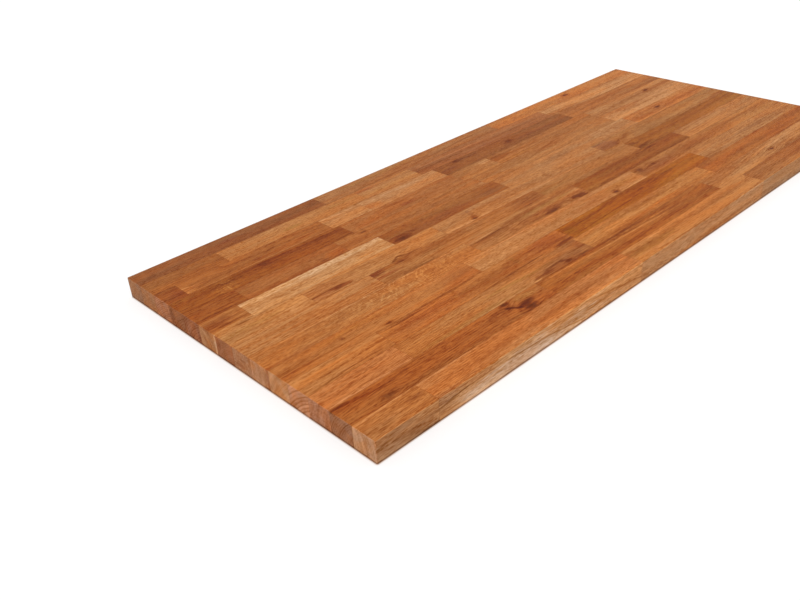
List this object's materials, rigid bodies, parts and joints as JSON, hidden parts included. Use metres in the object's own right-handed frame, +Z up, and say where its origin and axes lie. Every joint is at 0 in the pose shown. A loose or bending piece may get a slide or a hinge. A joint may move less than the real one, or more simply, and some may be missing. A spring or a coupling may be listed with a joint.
{
  "type": "butcher block countertop",
  "caption": "Solid oak worktop panel glued up from full-thickness staves in rows, with staggered butt joints, square ends and lightly rounded edges.",
  "frame": {"origin": "middle of the underside, on the surface that the board lies on", "axes": "+X along the board and its grain towards the right-hand end, +Y across the rows towards the back edge, +Z up out of the work surface"},
  "size_m": [1.5, 0.65, 0.04],
  "materials": {
    "oak_sapwood": "palest oak with sapwood, oiled satin",
    "oak_pale": "pale oak, oiled satin",
    "oak_honey": "honey oak, oiled satin",
    "oak_amber": "amber oak, oiled satin",
    "oak_brown": "mid brown oak, oiled satin",
    "oak_russet": "reddish brown oak, oiled satin",
    "oak_dusky": "dull purplish brown oak, oiled satin",
    "oak_dark": "dark red-brown oak, oiled satin"
  },
  "bodies": {
    "root": {"row_01_stave_1": "oak_amber", "row_01_stave_2": "oak_amber", "row_01_stave_3": "oak_amber", "row_01_stave_4": "oak_brown", "row_02_stave_1": "oak_russet", "row_02_stave_2": "oak_russet", "row_02_stave_3": "oak_honey", "row_03_stave_1": "oak_amber", "row_03_stave_2": "oak_amber", "row_03_stave_3": "oak_amber", "row_03_stave_4": "oak_russet", "row_04_stave_1": "oak_amber", "row_04_stave_2": "oak_russet", "row_04_stave_3": "oak_russet", "row_04_stave_4": "oak_honey", "row_05_stave_1": "oak_amber", "row_05_stave_2": "oak_honey", "row_05_stave_3": "oak_dusky", "row_06_stave_1": "oak_amber", "row_06_stave_2": "oak_brown", "row_06_stave_3": "oak_dark", "row_06_stave_4": "oak_honey", "row_07_stave_1": "oak_honey", "row_07_stave_2": "oak_brown", "row_07_stave_3": "oak_honey", "row_07_stave_4": "oak_dusky", "row_08_stave_1": "oak_pale", "row_08_stave_2": "oak_honey", "row_08_stave_3": "oak_honey", "row_08_stave_4": "oak_brown", "row_09_stave_1": "oak_russet", "row_09_stave_2": "oak_sapwood", "row_09_stave_3": "oak_dusky", "row_09_stave_4": "oak_honey", "row_09_stave_5": "oak_honey", "row_09_stave_6": "oak_amber", "row_10_stave_1": "oak_dark", "row_10_stave_2": "oak_brown", "row_10_stave_3": "oak_brown", "row_10_stave_4": "oak_honey", "row_10_stave_5": "oak_pale", "row_11_stave_1": "oak_dark", "row_11_stave_2": "oak_brown", "row_11_stave_3": "oak_honey", "row_11_stave_4": "oak_brown", "row_11_stave_5": "oak_honey", "row_12_stave_1": "oak_dark", "row_12_stave_2": "oak_brown", "row_12_stave_3": "oak_pale", "row_12_stave_4": "oak_pale", "row_12_stave_5": "oak_dusky", "row_12_stave_6": "oak_brown", "row_13_stave_1": "oak_brown", "row_13_stave_2": "oak_honey", "row_13_stave_3": "oak_honey", "row_13_stave_4": "oak_dusky", "row_13_stave_5": "oak_pale", "row_14_stave_1": "oak_dusky", "row_14_stave_2": "oak_brown", "row_14_stave_3": "oak_amber"}
  },
  "joints": []
}
